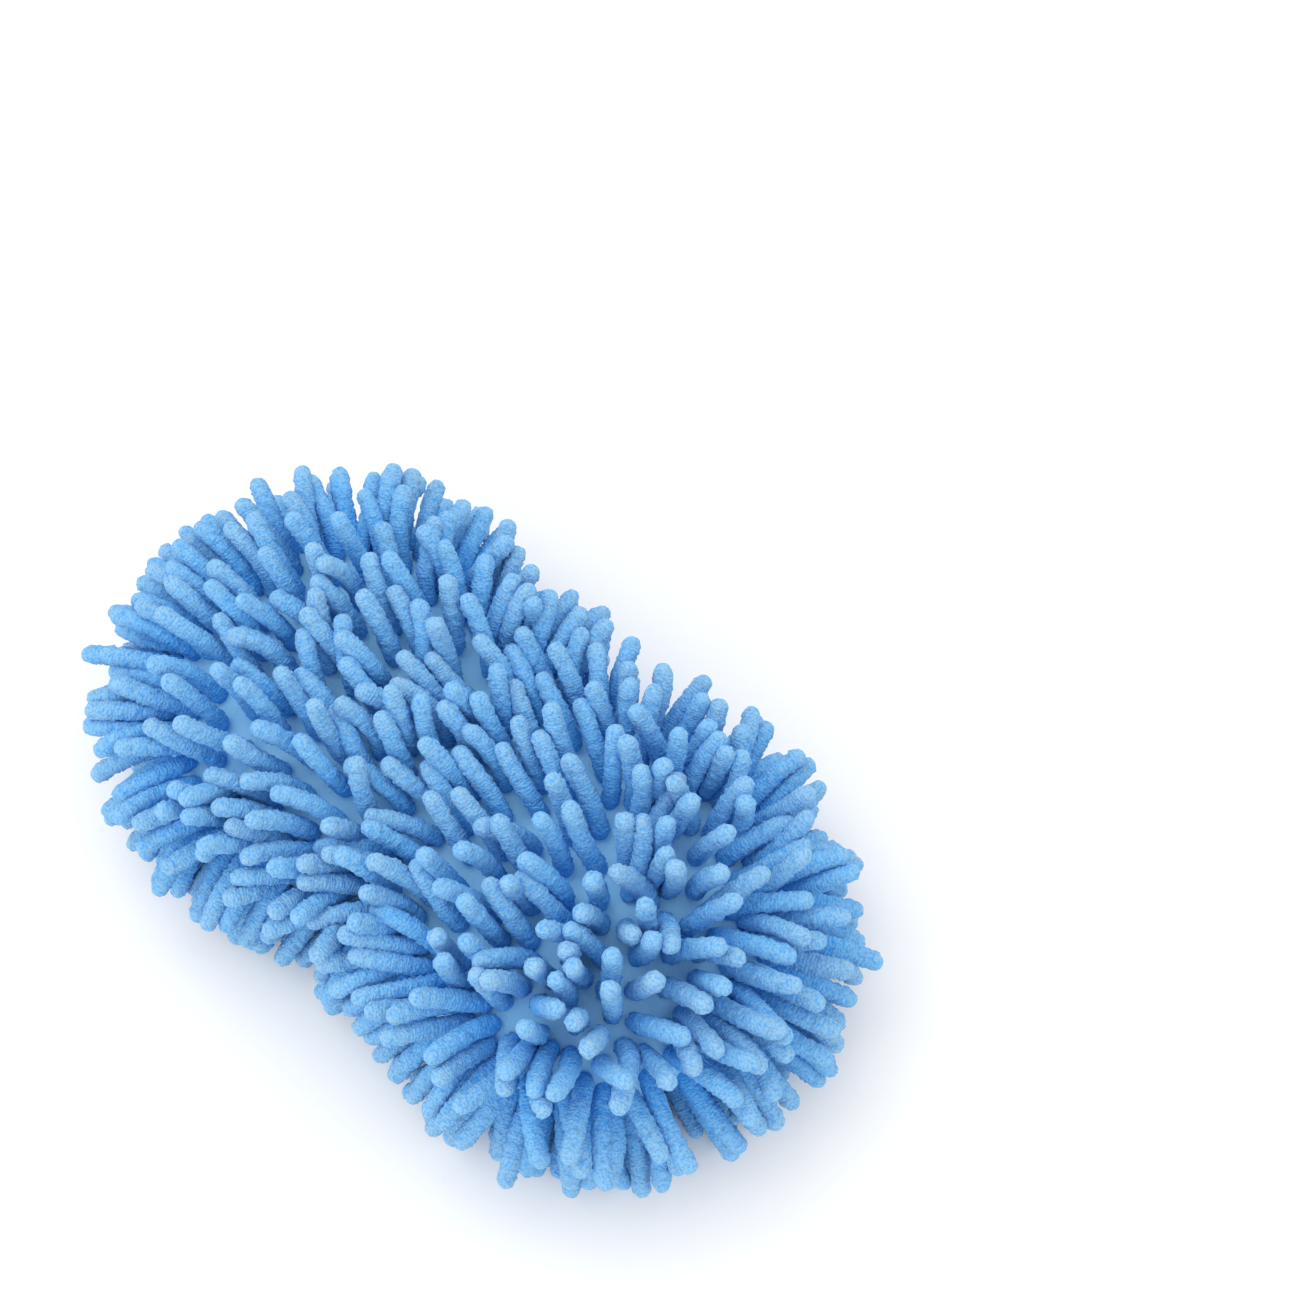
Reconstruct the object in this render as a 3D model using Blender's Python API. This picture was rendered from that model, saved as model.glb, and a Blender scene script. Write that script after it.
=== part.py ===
"""Figure-eight chenille wash mitt.

A foam core sits in a cover of two knit backing panels, which are sewn together round the
middle with their seam allowance turned in. Rows of chenille noodles are tufted through both
panels. The mitt lies on its underside, where the noodles are pressed over towards the rim.

Sizes are in metres. X runs along the mitt, Y across it, and Z is up from the floor.
"""

import bisect
import math

import bmesh
import bpy
from mathutils import Vector

MM = 0.001

# Foam core, as the cover holds it
CORE_LENGTH = 211 * MM
LOBE_WIDTH = 110 * MM
LOBE_REACH = 50 * MM
WAIST_WIDTH = 97 * MM
CROWN_HEIGHT = 16.5 * MM
WAIST_CROWN_HEIGHT = 15 * MM

# Roundness of the foam's edge: 2 is an ellipse, and more is squarer
SECTION_POWER = 2.5
END_POWER = 2.6

# Cover
BACKING_THICKNESS = 1.2 * MM
SEAM_ALLOWANCE = 6 * MM
OVERLOCK_DIAMETER = 2.4 * MM
FIT_GAP = 0.3 * MM

# Chenille noodles
NOODLE_LENGTH = 22 * MM
NOODLE_WIDTH = 5.6 * MM
NOODLE_TIP = 2.5 * MM
NOODLE_PITCH = 12 * MM
ROWS_PER_PANEL = 18
SEAM_MARGIN = 3.2 * MM
TUFT_THICKNESS = 1 * MM
TUFT_LIFT = 0.9 * MM
COMB_LEAN = 0.35
SIDE_DROOP = 0.3
SWIRL_LEAN = 0.3
SWIRL_LENGTH = 90 * MM

# Underside, where the mitt rests on its own noodles
UNDERSIDE_GAP = 14 * MM
FLOOR_CUT = 0.5 * MM

# Whip stitch that closes the opening the foam went in through
CLOSING_LENGTH = 80 * MM
CLOSING_STITCHES = 20
STITCH_THREAD = 0.8 * MM
STITCH_CLEARANCE = 0.9 * MM
STITCH_TO_NOODLES = 0.6 * MM

# Mesh steps
LOBE_STEPS = 6
LEAST_WAIST_STEPS = 10
MOST_FACET_RISE = 0.17 * MM
CROWN_STEPS = 12
ARC_SAMPLES = 240
AIM_STEPS = 40

# Places worked out from the sizes above
HALF_LENGTH = CORE_LENGTH / 2
LOBE_CENTRE = HALF_LENGTH - LOBE_REACH
WAIST_CURVATURE = max(0.0, LOBE_WIDTH - WAIST_WIDTH) / 4 * (math.pi / LOBE_CENTRE) ** 2
FACETS_NEEDED = math.ceil(LOBE_CENTRE * math.sqrt(WAIST_CURVATURE / (2 * MOST_FACET_RISE)))
WAIST_STEPS = max(LEAST_WAIST_STEPS, FACETS_NEEDED)
WAIST_FACET_RISE = WAIST_CURVATURE * (2 * LOBE_CENTRE / WAIST_STEPS) ** 2 / 8
SEAM_LIFT = BACKING_THICKNESS + FIT_GAP / 2
COVER_OUTSIDE = FIT_GAP + BACKING_THICKNESS
TUFT_BASE = COVER_OUTSIDE + WAIST_FACET_RISE + TUFT_LIFT
TUFT_TOP = TUFT_BASE + TUFT_THICKNESS
SEAM_HEIGHT = UNDERSIDE_GAP + COVER_OUTSIDE + CROWN_HEIGHT + SEAM_LIFT
OVERLOCK_INSET = SEAM_ALLOWANCE + OVERLOCK_DIAMETER / 2
SLOT_DEPTH = OVERLOCK_INSET + OVERLOCK_DIAMETER / 2 + FIT_GAP
SLOT_HALF_HEIGHT = max(SEAM_LIFT, OVERLOCK_DIAMETER / 2) + FIT_GAP
STITCH_REACH = SEAM_MARGIN - STITCH_TO_NOODLES - STITCH_THREAD / 2
UPPER = 1
LOWER = -1


def clear_scene():
    """Removes whatever the scene holds."""
    for obj in list(bpy.data.objects):
        bpy.data.objects.remove(obj)


def material(name, colour, roughness):
    """A plain finish of one colour."""
    made = bpy.data.materials.new(name)
    made.use_nodes = True
    shader = made.node_tree.nodes["Principled BSDF"]
    shader.inputs["Base Color"].default_value = (*colour, 1.0)
    shader.inputs["Roughness"].default_value = roughness
    shader.inputs["Metallic"].default_value = 0.0
    return made


def add_object(name, data, finish):
    """Links one named object with its finish."""
    obj = bpy.data.objects.new(name, data)
    data.materials.append(finish)
    bpy.context.scene.collection.objects.link(obj)
    return obj


def add_mesh(name, bm, finish):
    """Turns a bmesh into a named object."""
    mesh = bpy.data.meshes.new(name)
    bm.to_mesh(mesh)
    bm.free()
    mesh.shade_smooth()
    mesh.set_sharp_from_angle(angle=math.radians(40))
    return add_object(name, mesh, finish)


def add_thread(name, points, diameter, closed, finish):
    """A round thread along a line of points."""
    curve = bpy.data.curves.new(name, "CURVE")
    curve.dimensions = "3D"
    curve.bevel_depth = diameter / 2
    curve.bevel_resolution = 1
    curve.use_fill_caps = not closed
    spline = curve.splines.new("POLY")
    spline.points.add(len(points) - 1)
    for place, point in zip(points, spline.points):
        point.co = (*place, 1)
    spline.use_cyclic_u = closed
    return add_object(name, curve, finish)


# Shape of the foam core

def waist_blend(x, waist, lobe):
    """A size that grows from the waist to the lobe centres along a cosine."""
    share = min(1.0, abs(x) / LOBE_CENTRE)
    return waist + (lobe - waist) * (1 - math.cos(math.pi * share)) / 2


def end_share(x):
    """How far x lies past a lobe's centre, from 0 there to 1 at the mitt's end."""
    return min(1.0, max(0.0, (abs(x) - LOBE_CENTRE) / LOBE_REACH))


def half_width(x):
    """Half the core's width at x: round lobes and a drawn-in waist."""
    width = waist_blend(x, WAIST_WIDTH, LOBE_WIDTH) / 2
    return width * math.sqrt(1 - end_share(x) ** 2)


def crown(x):
    """How far the core's crown stands over the seam band at x."""
    height = waist_blend(x, WAIST_CROWN_HEIGHT, CROWN_HEIGHT)
    return height * (1 - end_share(x) ** END_POWER) ** (1 / END_POWER)


def slope(size, x):
    """The rate at which a size changes along X."""
    step = 0.01 * MM
    low = max(-HALF_LENGTH, x - step)
    high = min(HALF_LENGTH, x + step)
    return (size(high) - size(low)) / (high - low)


def core_point(x, angle, side):
    """A point on the core's upper or lower face. Angle runs from the +Y seam, 0, to the other, pi."""
    bend = 2 / SECTION_POWER
    across = math.copysign(abs(math.cos(angle)) ** bend, math.cos(angle))
    rise = SEAM_LIFT + crown(x) * max(0.0, math.sin(angle)) ** bend
    return Vector((x, half_width(x) * across, SEAM_HEIGHT + side * rise))


def core_normal(x, angle, side):
    """The outward direction of the core's face there."""
    if end_share(x) >= 1:
        return Vector((math.copysign(1, x), 0, 0))
    width = half_width(x)
    height = crown(x)
    bend = 2 / SECTION_POWER
    across = abs(math.cos(angle)) ** bend
    up = max(0.0, math.sin(angle)) ** bend
    narrowing = across**SECTION_POWER * slope(half_width, x) / width
    sinking = up**SECTION_POWER * slope(crown, x) / height
    sideways = math.copysign(across ** (SECTION_POWER - 1) / width, math.cos(angle))
    upward = side * up ** (SECTION_POWER - 1) / height
    return Vector((-narrowing - sinking, sideways, upward)).normalized()


def stations():
    """Places along X that follow the lobes' curve, from one end of the mitt to the other."""
    turns = [math.pi / 2 * i / LOBE_STEPS for i in range(LOBE_STEPS + 1)]
    lobe = [LOBE_CENTRE + LOBE_REACH * math.sin(turn) for turn in turns]
    waist = [LOBE_CENTRE * (2 * i / WAIST_STEPS - 1) for i in range(1, WAIST_STEPS)]
    return [-x for x in reversed(lobe)] + waist + lobe


def rim_loop(inset, height):
    """The core's outline moved in by an inset, at a height, once round the mitt."""
    along = stations()
    loop = []
    for angle, order in ((0.0, along[:-1]), (math.pi, along[:0:-1])):
        for x in order:
            place = core_point(x, angle, UPPER) - core_normal(x, angle, UPPER) * inset
            loop.append(Vector((place.x, place.y, height)))
    return loop


# Foam core and cover

def loft(bm, rings, closed):
    """Skins rings of equally many points, back to the first ring if closed. Returns their vertices."""
    rings = [[bm.verts.new(point) for point in ring] for ring in rings]
    for near, far in zip(rings, rings[1:] + rings[:1] if closed else rings[1:]):
        for i in range(len(near)):
            bm.faces.new((near[i - 1], near[i], far[i], far[i - 1]))
    return rings


def seam_slot(finish):
    """The flat ring of room that the turned-in seam takes from the foam."""
    bm = bmesh.new()
    low = SEAM_HEIGHT - SLOT_HALF_HEIGHT
    high = SEAM_HEIGHT + SLOT_HALF_HEIGHT
    outside = -SEAM_ALLOWANCE
    corners = ((outside, low), (outside, high), (SLOT_DEPTH, high), (SLOT_DEPTH, low))
    loft(bm, [rim_loop(inset, height) for inset, height in corners], True)
    bmesh.ops.recalc_face_normals(bm, faces=bm.faces)
    slot = add_mesh("seam_slot", bm, finish)
    slot.hide_render = True
    slot.display_type = "WIRE"
    return slot


def foam_core(finish):
    """The figure-eight sponge, with the slot that the seam presses into it."""
    bm = bmesh.new()
    angles = [math.pi * i / CROWN_STEPS for i in range(CROWN_STEPS + 1)]
    along = stations()
    rings = []
    for x in along[1:-1]:
        over = [core_point(x, angle, UPPER) for angle in angles]
        under = [core_point(x, angle, LOWER) for angle in reversed(angles)]
        rings.append(over + under)
    rings = loft(bm, rings, False)
    for x, ring in ((along[0], rings[0]), (along[-1], rings[-1])):
        middle = bmesh.ops.poke(bm, faces=[bm.faces.new(ring)])["verts"][0]
        middle.co = (x, 0, SEAM_HEIGHT)
    bmesh.ops.recalc_face_normals(bm, faces=bm.faces)
    core = add_mesh("foam_core", bm, finish)
    cut = core.modifiers.new("seam_slot", "BOOLEAN")
    cut.operation = "DIFFERENCE"
    cut.solver = "EXACT"
    cut.object = seam_slot(finish)


def backing_panel(name, side, finish):
    """One half of the knit cover, with its edge turned in all round."""
    bm = bmesh.new()
    along = stations()
    columns = len(along) - 1
    rows = CROWN_STEPS + 2
    grid = bmesh.ops.create_grid(bm, x_segments=columns, y_segments=rows, size=1)
    for vert in grid["verts"]:
        x = along[round((vert.co.x + 1) / 2 * columns)]
        row = round((1 + side * vert.co.y) / 2 * rows)
        angle = math.pi * (1 - min(max(row - 1, 0), CROWN_STEPS) / CROWN_STEPS)
        inset = SEAM_ALLOWANCE if row in (0, rows) else 0
        vert.co = core_point(x, angle, side) + core_normal(x, angle, side) * (FIT_GAP - inset)
    bmesh.ops.remove_doubles(bm, verts=bm.verts, dist=0.01 * MM)
    panel = add_mesh(name, bm, finish)
    wall = panel.modifiers.new("knit", "SOLIDIFY")
    wall.thickness = BACKING_THICKNESS
    wall.offset = 1
    wall.use_even_offset = True


# Noodle rows

def measured(points):
    """The running length at each point of a line."""
    lengths = [0.0]
    for near, far in zip(points, points[1:]):
        lengths.append(lengths[-1] + (far - near).length)
    return lengths


def read_at(lengths, values, length):
    """The value at a running length, between samples."""
    step = min(max(bisect.bisect(lengths, length), 1), len(lengths) - 1)
    share = (length - lengths[step - 1]) / (lengths[step] - lengths[step - 1])
    return values[step - 1] + (values[step] - values[step - 1]) * share


def row_places():
    """Where the rows cross the middle of a panel, evenly spaced along its crown."""
    turns = [math.pi / 2 * i / ARC_SAMPLES for i in range(ARC_SAMPLES + 1)]
    along = [HALF_LENGTH * math.sin(turn) for turn in turns]
    lengths = measured([core_point(x, math.pi / 2, UPPER) for x in along])
    pitch = 2 * lengths[-1] / ROWS_PER_PANEL
    places = []
    for row in range(ROWS_PER_PANEL):
        offset = (row + 0.5) * pitch - lengths[-1]
        places.append(math.copysign(read_at(lengths, along, abs(offset)), offset))
    return places


class TuftLine:
    """One row's line across a panel, from seam to seam."""

    def __init__(self, x, side):
        self.x = x
        self.side = side
        self.angles = [math.pi * i / ARC_SAMPLES for i in range(ARC_SAMPLES + 1)]
        self.lengths = measured([core_point(x, angle, side) for angle in self.angles])
        self.length = self.lengths[-1]

    def frame(self, length):
        """The point, outward, forward and sideways directions at a length along the line."""
        angle = read_at(self.lengths, self.angles, length)
        point = core_point(self.x, angle, self.side)
        outward = core_normal(self.x, angle, self.side)
        step = math.pi / ARC_SAMPLES
        ahead = core_point(self.x, min(math.pi, angle + step), self.side)
        behind = core_point(self.x, max(0.0, angle - step), self.side)
        sideways = outward.cross(ahead - behind).normalized()
        return point, outward, sideways.cross(outward), sideways

    def noodle_places(self):
        """The lengths at which noodles stand: an even number, evenly spaced between the seams."""
        first = SEAM_MARGIN + NOODLE_WIDTH / 2
        span = self.length - 2 * first
        count = 2 * max(1, round((span / NOODLE_PITCH + 1) / 2))
        return [first + span * i / (count - 1) for i in range(count)]

    def section(self, length):
        """The four corners of the tuft tape there."""
        point, outward, _, sideways = self.frame(length)
        half = sideways * NOODLE_WIDTH / 2
        base = point + outward * TUFT_BASE
        top = point + outward * TUFT_TOP
        return [base - half, base + half, top + half, top - half]


def rim_direction(point):
    """The level direction from the mitt's long middle line towards its rim."""
    nearest = min(max(point.x, -LOBE_CENTRE), LOBE_CENTRE)
    return Vector((point.x - nearest, point.y, 0)).normalized()


class Noodle:
    """One noodle: the foot it stands on and the way it points."""

    def __init__(self, line, length):
        point, self.outward, self.forward, self.sideways = line.frame(length)
        self.foot = point + self.outward * TUFT_TOP
        self.aim = self.find_aim()

    def ring(self, aim, offsets):
        """Places round the noodle's shoulder, for offsets from the middle of its foot."""
        turn = self.outward.rotation_difference(aim)
        middle = self.foot + aim * (NOODLE_LENGTH - NOODLE_TIP)
        return [middle + turn @ offset for offset in offsets]

    def tip(self, aim):
        """The noodle's end."""
        return self.foot + aim * NOODLE_LENGTH

    def lowest(self, aim):
        """The noodle's lowest height."""
        half = NOODLE_WIDTH / 2
        signs = ((-half, -half), (-half, half), (half, half), (half, -half))
        corners = [self.forward * along + self.sideways * across for along, across in signs]
        return min(place.z for place in self.ring(aim, corners) + [self.tip(aim)])

    def find_aim(self):
        """Points the noodle out, combed, swirled and drooping, but no lower than the floor."""
        comb = Vector((COMB_LEAN * self.foot.x / HALF_LENGTH, 0, 0))
        droop = Vector((0, 0, -SIDE_DROOP * (1 - abs(self.outward.z))))
        wave = 2 * math.pi / SWIRL_LENGTH
        swirl = Vector((math.sin(wave * self.foot.y), math.sin(wave * self.foot.x), 0))
        swirl *= SWIRL_LEAN * max(0.0, self.outward.z)
        aim = (self.outward + comb + droop + swirl).normalized()
        if self.lowest(aim) >= -FLOOR_CUT:
            return aim
        rim = rim_direction(self.foot)
        steep = 1.0
        level = 0.0
        for _ in range(AIM_STEPS):
            drop = (steep + level) / 2
            aim = rim * math.sqrt(1 - drop**2) - Vector((0, 0, drop))
            if self.lowest(aim) < -FLOOR_CUT:
                steep = drop
            else:
                level = drop
        return aim

    def grow(self, bm, foot_face):
        """Draws the noodle out of its foot's face, up to a pointed tip."""
        end = bmesh.ops.extrude_discrete_faces(bm, faces=[foot_face])["faces"][0]
        offsets = [vert.co - self.foot for vert in end.verts]
        for vert, place in zip(end.verts, self.ring(self.aim, offsets)):
            vert.co = place
        bmesh.ops.poke(bm, faces=[end])["verts"][0].co = self.tip(self.aim)


def extend_tape(bm, end, corners):
    """Draws the tuft tape on to its next corners. Returns its new end and the top face behind it."""
    near = end.verts[2:]
    end = bmesh.ops.extrude_discrete_faces(bm, faces=[end])["faces"][0]
    for vert, corner in zip(end.verts, corners):
        vert.co = corner
    far = end.verts[2]
    top = next(face for face in near[0].link_faces if near[1] in face.verts and far in face.verts)
    return end, top


def cut_at_floor(bm):
    """Cuts off what reaches below the floor and closes the cuts."""
    everything = bm.verts[:] + bm.edges[:] + bm.faces[:]
    bmesh.ops.bisect_plane(bm, geom=everything, plane_co=(0, 0, 0), plane_no=(0, 0, 1), clear_inner=True)
    bmesh.ops.holes_fill(bm, edges=[edge for edge in bm.edges if edge.is_boundary])


def noodle_row(name, x, side, finish):
    """One tuft tape across a panel, with its noodles."""
    line = TuftLine(x, side)
    places = line.noodle_places()
    half = NOODLE_WIDTH / 2
    ends = [place + shift for place in places for shift in (-half, half)]
    bm = bmesh.new()
    end = bm.faces.new([bm.verts.new(corner) for corner in line.section(ends[0])])
    tops = []
    for length in ends[1:]:
        end, top = extend_tape(bm, end, line.section(length))
        tops.append(top)
    for top, place in zip(tops[::2], places):
        Noodle(line, place).grow(bm, top)
    cut_at_floor(bm)
    bmesh.ops.recalc_face_normals(bm, faces=bm.faces)
    add_mesh(name, bm, finish)


# Seam threads

def seam_overlock(finish):
    """The overlocked bead along the raw edges of the turned-in seam."""
    add_thread("seam_overlock", rim_loop(OVERLOCK_INSET, SEAM_HEIGHT), OVERLOCK_DIAMETER, True, finish)


def closing_stitch(finish):
    """The whip stitch over the seam at the waist."""
    points = []
    stand_off = COVER_OUTSIDE + WAIST_FACET_RISE + STITCH_CLEARANCE + STITCH_THREAD / 2
    for i in range(2 * CLOSING_STITCHES + 1):
        x = CLOSING_LENGTH * (i / (2 * CLOSING_STITCHES) - 0.5)
        line = TuftLine(x, UPPER if i % 2 else LOWER)
        point, outward, _, _ = line.frame(STITCH_REACH)
        points.append(point + outward * stand_off)
    add_thread("closing_stitch", points, STITCH_THREAD, False, finish)


def main():
    clear_scene()
    chenille = material("chenille", (0.12, 0.35, 0.67), 0.95)
    knit = material("knit", (0.29, 0.50, 0.80), 0.9)
    foam = material("foam", (0.80, 0.76, 0.62), 0.95)
    thread = material("thread", (0.20, 0.42, 0.74), 0.8)
    foam_core(foam)
    backing_panel("upper_backing", UPPER, knit)
    backing_panel("lower_backing", LOWER, knit)
    seam_overlock(thread)
    closing_stitch(thread)
    for number, x in enumerate(row_places(), 1):
        noodle_row(f"upper_noodle_row_{number:02d}", x, UPPER, chenille)
        noodle_row(f"lower_noodle_row_{number:02d}", x, LOWER, chenille)


main()
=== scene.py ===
"""Looks of a figure-eight chenille wash mitt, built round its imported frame.

The mitt is a foam pad in a cover of two knit panels, with rows of soft chenille noodles tufted
through the panels. The noodles settle against each other, the cover and the floor before they
are drawn. Sizes are in metres. X runs along the mitt, Y across it, and Z is up from the floor.
"""

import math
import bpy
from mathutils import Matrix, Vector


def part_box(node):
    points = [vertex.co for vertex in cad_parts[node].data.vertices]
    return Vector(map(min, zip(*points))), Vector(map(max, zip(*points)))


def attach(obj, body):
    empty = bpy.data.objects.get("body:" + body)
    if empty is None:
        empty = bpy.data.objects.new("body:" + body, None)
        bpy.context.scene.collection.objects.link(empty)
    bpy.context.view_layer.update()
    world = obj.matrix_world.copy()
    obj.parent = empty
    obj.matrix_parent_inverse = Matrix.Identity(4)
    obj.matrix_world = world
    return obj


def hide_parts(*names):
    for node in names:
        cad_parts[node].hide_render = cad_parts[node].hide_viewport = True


bl_info = {
    "name": "Chenille Wash Mitt",
    "version": (1, 0, 0),
    "blender": (4, 5, 0),
    "location": "3D View > Sidebar > Mitt",
    "description": "Builds the foam pad, knit cover, threads and noodle pile of a wash mitt",
    "category": "Add Mesh",
}

import bmesh
import bpy
import numpy as np
from bpy.props import FloatProperty, FloatVectorProperty, IntProperty, PointerProperty
from mathutils import Vector

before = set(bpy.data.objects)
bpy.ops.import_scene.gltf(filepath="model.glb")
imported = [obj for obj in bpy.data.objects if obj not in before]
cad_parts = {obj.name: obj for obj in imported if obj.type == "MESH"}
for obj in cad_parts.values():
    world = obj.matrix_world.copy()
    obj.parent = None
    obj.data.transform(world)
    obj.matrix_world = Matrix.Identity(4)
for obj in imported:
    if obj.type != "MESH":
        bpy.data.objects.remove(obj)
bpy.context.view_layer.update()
SEAM_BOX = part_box("seam_overlock")

UPPER = 1
LOWER = -1
SIDES = (("upper", UPPER), ("lower", LOWER))

# Roundness of the pad's edge: 2 is an ellipse, and more is squarer
SECTION_POWER = 2.5
END_POWER = 2.6

# Mesh steps of the pad and the cover
LOBE_STEPS = 22
WAIST_STEPS = 44
CROWN_STEPS = 48
LINE_SAMPLES = 240
SPOT_PITCH = 0.0025

# Keeps a division from failing
TINY = 1e-12

# Chains that the noodles settle as
SEGMENTS = 8
SETTLE_STEPS = 180
PAIRS_EVERY = 5
START_SIZE = 0.4
GROWN_BY = 0.6
SOFTNESS = 0.95
MEETING_ROOM = 0.003
FOOT_BEADS = 3
ROOT_HOLD = 0.3
TIP_HOLD = 0.03
KINK_EASE = 0.25
EASE_PASSES = 2
CONTACT_PASSES = 2
CROWDING = 0.6

# How a brushed noodle bends
AIM_AT_FOOT = 0.5
AIM_FULL_AT = 0.5
CURL_TURN = 0.4
SWIRL_WAVES = 4
DROOP_POWER = 1.5

# Form of a straight noodle, in shares of its length and radius, with the tip's turns in degrees
FOOT_RINGS = ((-0.02, 0.6), (0.0, 0.74), (0.03, 0.9), (0.065, 0.98))
BODY_START = 0.1
TIP_START = 0.875
TIP_TURNS = (24, 45, 63, 78)
TIP_BLUNTNESS = 0.8
LUMP = 0.05
LUMP_WEIGHTS = (0.15, 0.2, 0.3, 0.2, 0.15)
FUZZ = 0.08
LEAST_SIZE = 0.8
MOST_SIZE = 1.2


# Settings that a user may change

def length_property(name, description, default):
    """A length in metres."""
    return FloatProperty(name=name, description=description, default=default, unit="LENGTH")


def number_property(name, description, default):
    """A share or another plain number."""
    return FloatProperty(name=name, description=description, default=default)


def colour_property(name, description, default):
    """A colour in linear light."""
    return FloatVectorProperty(name=name, description=description, default=default, subtype="COLOR")


class PadSizes(bpy.types.PropertyGroup):
    """Sizes of the foam pad and its knit cover."""

    core_length: length_property("Core Length", "Length of the foam pad", 0.211)
    lobe_width: length_property("Lobe Width", "Width of the foam pad at its lobes", 0.110)
    lobe_reach: length_property("Lobe Reach", "From a lobe's centre to the pad's end", 0.050)
    waist_width: length_property("Waist Width", "Width of the foam pad at its waist", 0.097)
    crown_height: length_property("Crown Height", "Rise of a lobe over the seam", 0.0165)
    waist_crown_height: length_property("Waist Crown", "Rise of the waist over the seam", 0.015)
    seam_height: length_property(
        "Seam Height", "Height of the seam over the floor", (SEAM_BOX[0].z + SEAM_BOX[1].z) / 2
    )
    backing: length_property("Backing", "Thickness of the knit panels", 0.0012)
    fit_gap: length_property("Fit Gap", "Room between the foam and its cover", 0.0003)
    seam_allowance: length_property("Seam Allowance", "Width of the turned-in edge", 0.006)
    cut_width: length_property("Cut Width", "Width of a knit panel as it is cut", 0.131)
    cut_length: length_property("Cut Length", "Length of a knit panel as it is cut", 0.229)
    cut_area: FloatProperty(
        name="Cut Area", description="Area of a knit panel as it is cut", default=0.0261, unit="AREA"
    )
    pucker: length_property("Pucker", "How deep a row of tufts draws the panel in", 0.001)


class NoodleSizes(bpy.types.PropertyGroup):
    """Sizes and spacing of the chenille noodles."""

    rows: IntProperty(name="Rows", description="Rows of noodles on each panel", default=18, min=2)
    pitch: length_property("Pitch", "Distance between noodles of a row", 0.0081)
    seam_margin: length_property("Seam Margin", "From the seam to the first tufts", 0.0022)
    length: length_property("Length", "Mean length", 0.0278)
    length_spread: length_property("Length Spread", "Spread of the lengths", 0.0022)
    end_growth: number_property("End Growth", "How much longer they are at the mitt's ends", 0.11)
    width: length_property("Width", "Mean thickness", 0.0059)
    width_spread: length_property("Width Spread", "Spread of the thicknesses", 0.00025)
    stagger: length_property("Stagger", "How far a row's tufts stand off its line in turn", 0.0031)
    stray: length_property("Stray", "How far a tuft may stand off its place", 0.0012)
    widest_gap: length_property("Widest Gap", "From any spot to its nearest tuft", 0.0072)
    rim_band: length_property("Rim Band", "Width of the fuller band along the seam", 0.018)
    rim_crowding: number_property("Rim Crowding", "How many times closer the tufts stand there", 1.42)
    part_crowding: number_property(
        "Part Crowding", "Share by which they stand closer where the comb turns", 0.2
    )
    sides: IntProperty(name="Sides", description="Faces round a noodle", default=16, min=6)
    rings: IntProperty(name="Rings", description="Rings along a noodle's body", default=28, min=6)
    seed: IntProperty(name="Seed", description="Start of the random draws", default=11)


class PileLean(bpy.types.PropertyGroup):
    """How the pile is brushed."""

    comb: number_property("Comb", "Lean towards the -X lobe", 0.85)
    side_comb: number_property("Side Comb", "Share of the comb at the seam", 0.4)
    side_start: number_property("Side Start", "Share of the half width where the comb fades", 0.5)
    far_comb: number_property("Far Comb", "Share of the comb at the -X end", 0.55)
    far_fan: number_property("Far Fan", "Lean to the rim at the -X end", 0.8)
    end_lean: number_property("End Lean", "Lean outwards at the +X lobe", 0.55)
    turn_start: length_property("Turn Start", "Where the comb starts to turn round", 0.025)
    turn_end: length_property("Turn End", "Where it points to the +X lobe", 0.1)
    part: number_property("Part", "Lean away from the middle line", 0.28)
    droop: number_property("Droop", "Lean downwards at the sides", 1.2)
    end_droop: number_property("End Droop", "Share of the droop at the ends", 0.25)
    waist_droop: number_property("Waist Droop", "How much more the waist's sides droop", 0.3)
    stray: number_property("Stray", "Spread of the single noodles", 0.26)
    swirl: number_property("Swirl", "Spread of whole patches", 0.17)
    swirl_length: length_property("Swirl Length", "Size of the patches", 0.06)
    curl: number_property("Curl", "Bend of the single noodles", 0.27)
    sag: number_property("Sag", "Bend of a level noodle under its weight", 0.6)


class Finishes(bpy.types.PropertyGroup):
    """Colours of the mitt, in linear light."""

    # The chenille's deep colour is its dye where shade falls, at the foot and between the tufts, so it
    # holds painted shade. Its pale colour is its dye at the lit fibre ends, so it holds painted highlight.
    # Its shadow colour is painted shade for the gaps between the tufts.
    chenille_dye_and_shade: colour_property("Chenille Deep", "Dye deep in the pile", (0.083, 0.485, 1.0))
    chenille_dye_and_highlight: colour_property("Chenille Pale", "Dye at the fibre ends", (0.40, 0.60, 0.74))
    chenille_shadow: colour_property("Chenille Shadow", "Gaps between the tufts", (0.038, 0.29, 0.80))
    knit_deep: colour_property("Knit Deep", "Knit in its furrows", (0.25, 0.62, 0.90))
    knit_pale: colour_property("Knit Pale", "Knit on its ribs", (0.38, 0.74, 0.96))
    thread: colour_property("Thread", "Sewing thread", (0.16, 0.42, 0.80))
    foam: colour_property("Foam", "Sponge of the pad", (0.80, 0.74, 0.58))


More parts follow.
